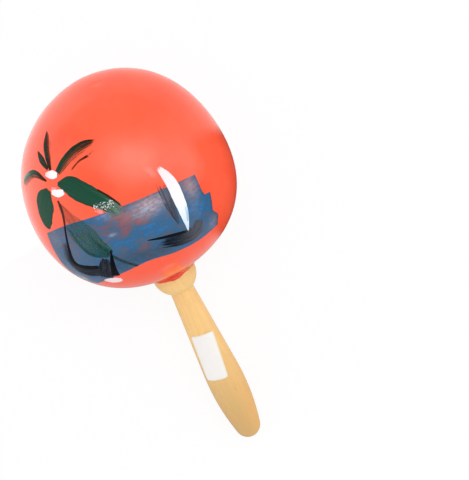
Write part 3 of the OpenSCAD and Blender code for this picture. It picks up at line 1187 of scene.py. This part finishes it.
# %% Leaf wash over the sea
paint_strokes("leaf_wash", [
    dict(path=[(-14, 37), (-7, 35), (0, 33), (6, 30.5), (12, 28), (17, 25), (20.5, 22.5)],
         widths=(0.8, 6.5, 12, 14, 11.5, 8.5, 4), film=0.11, load=(0.5, 0.36, 0.42, 0.5, 0.6, 0.75, 0.8),
         tint=(0, 0.1, 0.95, 1, 0.85, 0.65, 0.45), ends=(1, 2), lean=0.1, soft=0.15),
    dict(path=[(1, 29), (7, 27.5), (13, 25.5), (19.5, 22.5)], widths=(2, 4, 4.5, 2), film=0.12,
         load=(0.2, 0.3, 0.38, 0.45), tint=(0.6, 0.5, 0.45, 0.5), ends=(4, 3), soft=0.35),
    dict(path=[(-1, 35.5), (5, 33.5), (12, 30)], widths=(1.2, 1.8, 1), film=0.13, load=(0.3, 0.4, 0.3),
         tint=(1, 1), ends=(3, 4), soft=0.3),
    dict(path=[(19.5, 23.5), (26, 20), (34.5, 13.5)], widths=(2, 2.2, 1.4), film=0.14,
         load=(0.7, 0.58, 0.6), tint=(0.55, 0.55, 0.4), ends=(0.5, 1.5), soft=0.25),
    dict(path=[(-15, 37), (-10, 36.5), (-5, 37.5), (0, 39.5)], widths=(1.2, 1.3, 1.2, 0.8), film=0.16,
         load=(0.7, 0.7, 0.6, 0.4), tint=(0, 0), ends=(1, 3)),
    dict(path=[(-2.5, 38), (2, 36.5), (7, 36), (12, 35), (16.3, 32.8), (19.8, 28)],
         widths=(0.8, 1.8, 2.2, 2.4, 2.2, 1.2), film=0.15, load=(0.35, 0.45, 0.5, 0.55, 0.6, 0.55),
         tint=(0.75, 0.75, 0.7, 0.65, 0.6, 0.5), ends=(2, 2), lean=-0.2),
], leaf_paint)

# %% Trunk, root and grass
paint_strokes("trunk_shade", [
    dict(path=[(4, 44.5), (13, 49), (21, 51), (26.5, 46.5), (28.5, 34)], widths=(3, 5, 7.5, 8.5, 8),
         film=0.12, load=(0.25, 0.55, 0.85, 1, 0.95), tint=(0.7, 0.6, 0.5, 0.55), ends=(4, 2), lean=0.45,
         soft=0.2),
    dict(path=[(20.5, 27.5), (27, 32.5), (34.5, 39)], widths=(3, 6.8, 6.2), film=0.15,
         load=(0.75, 0.85, 0.75), tint=(0.4, 0.5, 0.4), ends=(0.8, 1)),
], dry_black)
paint_strokes("palm_trunk", [
    dict(path=[(-15, 37), (-7, 37), (2, 40.5), (11, 45), (17.5, 48.5), (21.5, 47.5), (24, 41), (25, 35)],
         widths=(0.9, 0.9, 1, 1.6, 2.6, 3.2, 3, 2.4), film=0.14,
         load=(0.6, 0.8, 1, 1.1, 1.1, 1.1, 1, 0.9), tint=(0.7, 0.3, 0.15, 0.1, 0.1, 0.1, 0.1, 0.1),
         ends=(0.6, 1), lean=0.15),
    dict(path=[(16.5, 21), (25, 26), (35, 32)], widths=(0.3, 2.3, 4), film=0.17, load=(1.2, 1.1),
         tint=(0, 0.05)),
], dark_paint)

# %% [markdown]
# ## The boat
#
# A white sail in one stroke that swells and ends in a point, a second sail behind it in thin grey, and a
# dark hull pulled to the left until the brush runs dry.

# %% Boat
paint_strokes("boat_hull", [
    dict(path=[(23.5, -30.5), (29.5, -26.5), (29.5, -18.5), (27, -9.5), (24.5, -2.5)],
         widths=(3.6, 8.6, 9, 7.5, 6), film=0.12, load=(0.9, 0.9, 0.8, 0.7, 0.4),
         tint=(0.9, 0.9, 0.65, 0.2, 0.1), ends=(1.5, 5)),
    dict(path=[(-4, -17), (4, -17), (12, -17.2), (20, -17.8)], widths=(4.5, 5.4, 3.9, 0.5), film=0.11,
         load=(0.4, 0.52, 0.65, 0.8), tint=(0.85, 0.8, 0.75, 0.65), ends=(2.5, 0.5), lean=-0.12),
], dry_black)
paint_strokes("hull_line", [
    dict(path=[(20, 1.5), (23, -8), (26.5, -21.5)], widths=(0.4, 1.7, 1.6), film=0.14, load=(1.1, 1),
         tint=(0.05, 0.15), ends=(0.3, 3)),
], dark_paint)
paint_strokes("boat_sail", [
    dict(path=[(-11.5, -19.5), (-3, -22), (7, -22.5), (17, -22.5), (26.5, -22)],
         widths=(1.8, 5.3, 5.8, 4, 0.5), film=0.16, load=(0.8, 1.1, 1.2, 1.2, 1.1),
         tint=(1, 0.9, 0.72, 0.5, 0.3), ends=(2.5, 0.4)),
    dict(path=[(7, -25), (14, -24.5), (21.5, -23)], widths=(0.8, 1.7, 1.2), film=0.18,
         load=(0.35, 0.6, 0.75), tint=(0.35, 0.15, 0.1), ends=(7, 1), soft=0.2),
], white_paint)

# %% [markdown]
# ## White touches
#
# Two dabs for the coconuts, a pale dab at the foot of the palm, a row of specks across the largest
# frond's end, and a faint pale smear beside the top of the sail and another under the specks.

# %% White touches
paint_strokes("white_touches", [
    dict(path=[(-28.5, 43), (-27.5, 37.5), (-26.5, 33)], widths=(1.4, 4, 2), film=0.2,
         load=(0.5, 1.1, 1.1), tint=(1.1, 0.75, 0.7)),
    dict(path=[(-19.5, 40), (-18, 35.5), (-18, 31)], widths=(2, 3.7, 2), film=0.2, load=(0.9, 1.2, 1),
         tint=(0.9, 0.75, 0.7)),
    dict(path=[(-21, 40), (-20, 35)], widths=(1.5, 1.5), film=0.18, load=(0.55, 0.6), tint=(1.1, 1.1)),
    dict(path=[(36, 43.5), (38.5, 38), (39.5, 31)], widths=(1, 4.4, 5.6, 5, 1.2), film=0.12,
         load=(0.7, 0.95, 0.85), tint=(1.1, 0.95, 1)),
], white_paint)
SPECKS = 130
SPECK_FROM = np.array([-6.5, 18.5])
SPECK_TO = np.array([-5, 7.5])
SPECK_SPREAD = 1
SPECK_SIZE = 0.21
SPECK_SEED = 5
chance = np.random.default_rng(SPECK_SEED)


def speck():
    """A tiny dab somewhere along the line, scattered to both sides of it by a bell curve."""
    middle = SPECK_FROM + chance.random() * (SPECK_TO - SPECK_FROM) + [SPECK_SPREAD * chance.normal(), 0]
    size = SPECK_SIZE * (0.5 + chance.random())
    reach = size * chance.uniform(-1, 1, 2)
    path = [middle - reach, middle + reach]
    return dict(path=path, widths=(size, 1.4 * size), film=0.2, tint=(0.7, 0.7), ends=(0.1, 0.1))


paint_strokes("white_specks", [speck() for _ in range(SPECKS)], white_paint)
paint_strokes("white_smears", [
    dict(path=[(-15, -12), (-10.5, -15.5), (-5, -17)], widths=(3, 4.5, 3), film=0.05,
         load=(0.05, 0.15, 0.1), tint=(1, 1), ends=(3, 3), soft=0.25),
    dict(path=[(-5.5, 18.5), (-4, 16), (-2.5, 13.5)], widths=(2, 3, 2), film=0.17, load=(0.2, 0.35, 0.25),
         tint=(1, 1), ends=(1.5, 1.5), soft=0.25),
], white_wash)

# %% [markdown]
# ## The label
#
# A blank paper sticker, wrapped round the grip a little askew. It is a thin sheet with round corners.
# Each point of it is a place on the flat label, turned by the slant, laid along the axis and rolled round
# it. One corner has begun to lift.

# %% Paper finish
PAPER_FIBRES = 3.0
PAPER_PATCHES = 0.25
PAPER_ROUGH = (0.45, 0.6)
PAPER_RELIEF = 0.02 * MM
FIBRE_SHARE = 0.3
AGED_SHARE = 0.2
RIM_WIDE = 1.2
PAPER = {
    "clean": (0.88, 0.87, 0.85, 1),
    "fibre": (0.8, 0.79, 0.77, 1),
    "aged": (0.8, 0.78, 0.72, 1),
    "rim": (0.8, 0.76, 0.65, 1),
}


def build_label_paper():
    """Fibres and soft ageing are noise over the flat label, and the rim is dirtier by its distance."""
    material, tree, surface = new_finish("label_paper", IOR=1.4)
    flat = mark(tree, "flat", "Vector")
    fibres = noise(tree, flat, PAPER_FIBRES, detail=4.0, roughness=0.7)
    tone = use(tree, mottling, {"Place": flat, "Scale": PAPER_PATCHES})
    rim = remap(tree, place(tree, "SeparateXYZ", {0: flat}).outputs["Z"], 0.0, RIM_WIDE)
    colour = mixed(tree, times(tree, fibres, FIBRE_SHARE), PAPER["clean"], PAPER["fibre"])
    colour = mixed(tree, times(tree, tone["Patches"], AGED_SHARE), colour, PAPER["aged"])
    colour = mixed(tree, rim, PAPER["rim"], colour)
    rough = remap(tree, fibres, *NOISE_SPAN, *PAPER_ROUGH)
    normal = bumped(tree, fibres, PAPER_RELIEF)
    finish_surface(tree, surface, Base_Color=colour, Roughness=rough, Normal=normal)
    return material


label_paper = build_label_paper()
print("label finish:", label_paper.name)

# %% Label
LABEL_L = 26.2 * MM
LABEL_W = 12.7 * MM
LABEL_T = 0.2 * MM
LABEL_GAP = 0.05 * MM
LABEL_CORNER = 1.6 * MM
LABEL_FROM_NECK = 37.5 * MM
LABEL_TURN = np.radians(15)
LABEL_SLANT = np.radians(-6)
LABEL_CURL = 0.25 * MM
CURL_FROM = 0.55
CURL_TO = 1.1
LABEL_ALONG = 72
LABEL_ACROSS = 33
PAPER_ANGLE = np.radians(40)


def label_skin():
    """A flat sheet with round corners, turned by its slant, laid along the grip and rolled round it: the
    turn is the arc's length over its radius. One corner curls up."""
    long = to_edges(LABEL_ALONG) * LABEL_L / 2
    past_corner = np.maximum(np.abs(long) - (LABEL_L / 2 - LABEL_CORNER), 0)
    half = LABEL_W / 2 - LABEL_CORNER + np.sqrt(np.maximum(LABEL_CORNER**2 - past_corner**2, 0))
    v = np.linspace(-1, 1, LABEL_ACROSS)
    along = np.repeat(long[:, None], len(v), 1)
    across = half[:, None] * v
    reach = NECK + LABEL_FROM_NECK + along * np.cos(LABEL_SLANT) + across * np.sin(LABEL_SLANT)
    round_way = across * np.cos(LABEL_SLANT) - along * np.sin(LABEL_SLANT)
    out = grip_out(reach) + LABEL_GAP
    turn = LABEL_TURN + round_way / out
    curl = LABEL_CURL * eased(CURL_FROM, CURL_TO, -along / LABEL_L - across / LABEL_W)
    top = turned(reach, out + LABEL_T + curl, turn)
    under = turned(reach, out + curl, turn)
    to_rim = np.minimum(half[:, None] - np.abs(across), (LABEL_L / 2 - np.abs(long))[:, None])
    flat = np.stack([along, across, to_rim], -1) / MM
    return skin(np.concatenate([top, under[:, ::-1]], 1), flat=np.concatenate([flat, flat[:, ::-1]], 1))


sheet = label_skin()
label = make_piece("blank_label", [sheet], (label_paper,), PAPER_ANGLE)
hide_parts("paper_label")

# %% [markdown]
# ## The seeds
#
# The seeds are sealed in the gourd and keep their solids, which have the right shape. They get a dry
# brown husk with darker mottling.

# %% Seeds
dry_seed = build_husk(
    "dry_seed", 400.0, pale=(0.16, 0.07, 0.03, 1), dark=(0.06, 0.025, 0.012, 1),
    smooth=0.45, rough=0.65, depth=0.1 * MM,
)
seeds = [node for name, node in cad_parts.items() if name.startswith("seed_")]
for seed in seeds:
    seed.data.materials.clear()
    seed.data.materials.append(dry_seed)
print(f"{len(seeds)} seeds")

# %% [markdown]
# ## Floor, light and world
#
# The photograph is flat and bright, on white paper. A large lamp hangs over the table, a little beyond
# the head, and a pale tent fills in from the sides, darker overhead. A lamp's hard outline would show in
# the enamel, so gloss sees a soft glow in the tent instead. A dark card stands on the right, and that
# side of the enamel keeps its full colour. The floor is white paper that keeps a faint shadow: to the
# camera most of it is plain white.

# %% Rays and the card
CARD_EDGES = (0.79, 0.88)
CARD_HEIGHT = (0.1, 0.26)
CARD_SHADE = 0.05


def seen_white(tree):
    """1 for rays from the camera, and 1 for those off gloss or through glass."""
    path = place(tree, "LightPath").outputs
    gloss_sees = maths(tree, "MAXIMUM", path["Is Glossy Ray"], path["Is Transmission Ray"])
    return path["Is Camera Ray"], gloss_sees


def towards(tree, spot, way):
    """How far a place or direction is along a way of the picture."""
    return vectors(tree, "DOT_PRODUCT", spot, tuple(way), "Value")


def card_beside(tree, way):
    """1, and less for the directions in which the card stands, which are low and to the right."""
    level = vectors(tree, "NORMALIZE", stretched(tree, way, (1, 1, 0)))
    beside = remap(tree, towards(tree, level, picture_right), *CARD_EDGES)
    low = remap(tree, towards(tree, way, (0, 0, 1)), *CARD_HEIGHT, 1.0, 0.0)
    return remap(tree, times(tree, beside, low), 0, 1, 1.0, CARD_SHADE, smooth=False)


print(f"gloss sees {CARD_SHADE:.0%} of the light at the card")

# %% Floor
FLOOR_HALF = 4.0
FLOOR_DROP = 0.02 * MM
FLOOR_PLAIN = 0.9
FLOOR_PAPER = (0.95, 0.95, 0.95, 1)
WHITE = (1, 1, 1, 1)
LEFT_EDGES = (-0.95, -0.2)
LEFT_SHINE = 1.35
NEAR_EDGES = (-0.9, -0.1)
NEAR_SHADE = 0.55
FAR_EDGES = (0.2, 0.8)
FAR_PAPER = 0.8


def paper_shine(tree, way):
    """How bright gloss sees the paper: most on the left, less near the handle and at the card."""
    left = remap(tree, towards(tree, way, picture_right), *LEFT_EDGES, LEFT_SHINE, 1.0)
    near = remap(tree, towards(tree, way, picture_up), *NEAR_EDGES, NEAR_SHADE, 1.0)
    beyond = remap(tree, towards(tree, way, picture_up), *FAR_EDGES, 1.0, FAR_PAPER)
    sides = times(tree, card_beside(tree, way), left)
    return times(tree, sides, times(tree, near, beyond))


def build_floor():
    """White paper: plain white to gloss and mostly so to the camera, and diffuse to all other rays."""
    material = bpy.data.materials.new("white_paper_floor")
    material.use_nodes = True
    tree = material.node_tree
    tree.nodes.clear()
    paper = place(tree, "BsdfDiffuse", {"Color": FLOOR_PAPER})
    camera_sees, gloss_sees = seen_white(tree)
    under_head = (*head_middle[:2], -FLOOR_DROP)
    from_head = vectors(tree, "SUBTRACT", object_place(tree), under_head)
    carded = paper_shine(tree, vectors(tree, "NORMALIZE", from_head))
    strength = maths(tree, "MAXIMUM", carded, camera_sees)
    white = place(tree, "Emission", {"Color": WHITE, "Strength": strength})
    plain = maths(tree, "MAXIMUM", times(tree, camera_sees, FLOOR_PLAIN), gloss_sees)
    both = place(tree, "MixShader", {0: plain})
    tree.links.new(paper.outputs[0], both.inputs[1])
    tree.links.new(white.outputs[0], both.inputs[2])
    tree.links.new(both.outputs[0], place(tree, "OutputMaterial").inputs["Surface"])
    mesh = bpy.data.meshes.new("floor")
    ways = np.array([(-1, -1, 0), (1, -1, 0), (1, 1, 0), (-1, 1, 0)])
    mesh.from_pydata(ways * FLOOR_HALF - [0, 0, FLOOR_DROP], [], [(0, 1, 2, 3)])
    mesh.materials.append(material)
    floor = bpy.data.objects.new("floor", mesh)
    bpy.context.scene.collection.objects.link(floor)


build_floor()
print(f"the floor is {2 * FLOOR_HALF:.0f} m wide")

# %% Lamp
LAMP_AWAY = 900 * MM
LAMP_LEAN = np.radians(12)
LAMP_WAY = np.radians(55)
LAMP_SIZE = 700 * MM
LAMP_POWER = 3.35


def build_lamp():
    """A round lamp over the head, which gloss doesn't see."""
    lamp_data = bpy.data.lights.new("overhead_lamp", "AREA")
    lamp_data.shape = "DISK"
    lamp_data.size = LAMP_SIZE
    lamp_data.energy = LAMP_POWER
    lamp = bpy.data.objects.new("overhead_lamp", lamp_data)
    level = np.cos(LAMP_WAY) * picture_right + np.sin(LAMP_WAY) * picture_up
    to_lamp = np.cos(LAMP_LEAN) * np.array([0, 0, 1]) + np.sin(LAMP_LEAN) * level
    lamp.location = head_middle + LAMP_AWAY * to_lamp
    lamp.rotation_euler = Vector(to_lamp).to_track_quat("Z", "Y").to_euler()
    lamp.visible_glossy = False
    bpy.context.scene.collection.objects.link(lamp)


build_lamp()
print(f"the lamp gives {LAMP_POWER} W from {LAMP_AWAY / MM:.0f} mm away")

# %% Tent
GLOW_AT = (0.25, 0.28)
GLOW_REACH = (1.05, 0.62)
GLOW = 3.4
SKY_EDGES = (0.1, 0.9)
SKY_AT_TABLE = 1.4
SKY_OVERHEAD = 0.52
FAR_SHADE = 0.45
TENT_SHINE = 0.72


def build_world():
    """A tent, brighter at the table than overhead. Gloss sees it dimmer beyond the head and at the card,
    with the glow added, which is 1 less the distance from its middle in reaches, eased."""
    world = bpy.data.worlds.new("light_tent")
    world.use_nodes = True
    tree = world.node_tree
    tree.nodes.clear()
    way = place(tree, "TexCoord").outputs["Generated"]
    height = place(tree, "SeparateXYZ", {0: way}).outputs["Z"]
    sky = remap(tree, height, *SKY_EDGES, SKY_AT_TABLE, SKY_OVERHEAD)
    camera_sees, gloss_sees = seen_white(tree)
    off = []
    for axis, at, far in zip((picture_right, picture_up), GLOW_AT, GLOW_REACH):
        off.append(maths(tree, "DIVIDE", minus(tree, towards(tree, way, axis), at), far))
    flat = place(tree, "CombineXYZ", {"X": off[0], "Y": off[1]}).outputs[0]
    away = vectors(tree, "LENGTH", flat, output="Value")
    beyond = remap(tree, towards(tree, way, picture_up), *FAR_EDGES, 1.0, FAR_SHADE)
    sides = times(tree, times(tree, sky, TENT_SHINE), card_beside(tree, way))
    shine = plus(tree, times(tree, sides, beyond), remap(tree, away, 0, 1, GLOW, 0.0))
    light = place(tree, "Mix", {0: gloss_sees, 2: sky, 3: shine}, data_type="FLOAT").outputs[0]
    strength = maths(tree, "MAXIMUM", light, camera_sees)
    tent = place(tree, "Background", {"Color": WHITE, "Strength": strength})
    tree.links.new(tent.outputs[0], place(tree, "OutputWorld").inputs["Surface"])
    bpy.context.scene.world = world


build_world()
bpy.context.scene.view_settings.view_transform = "Standard"
print("stage ready")
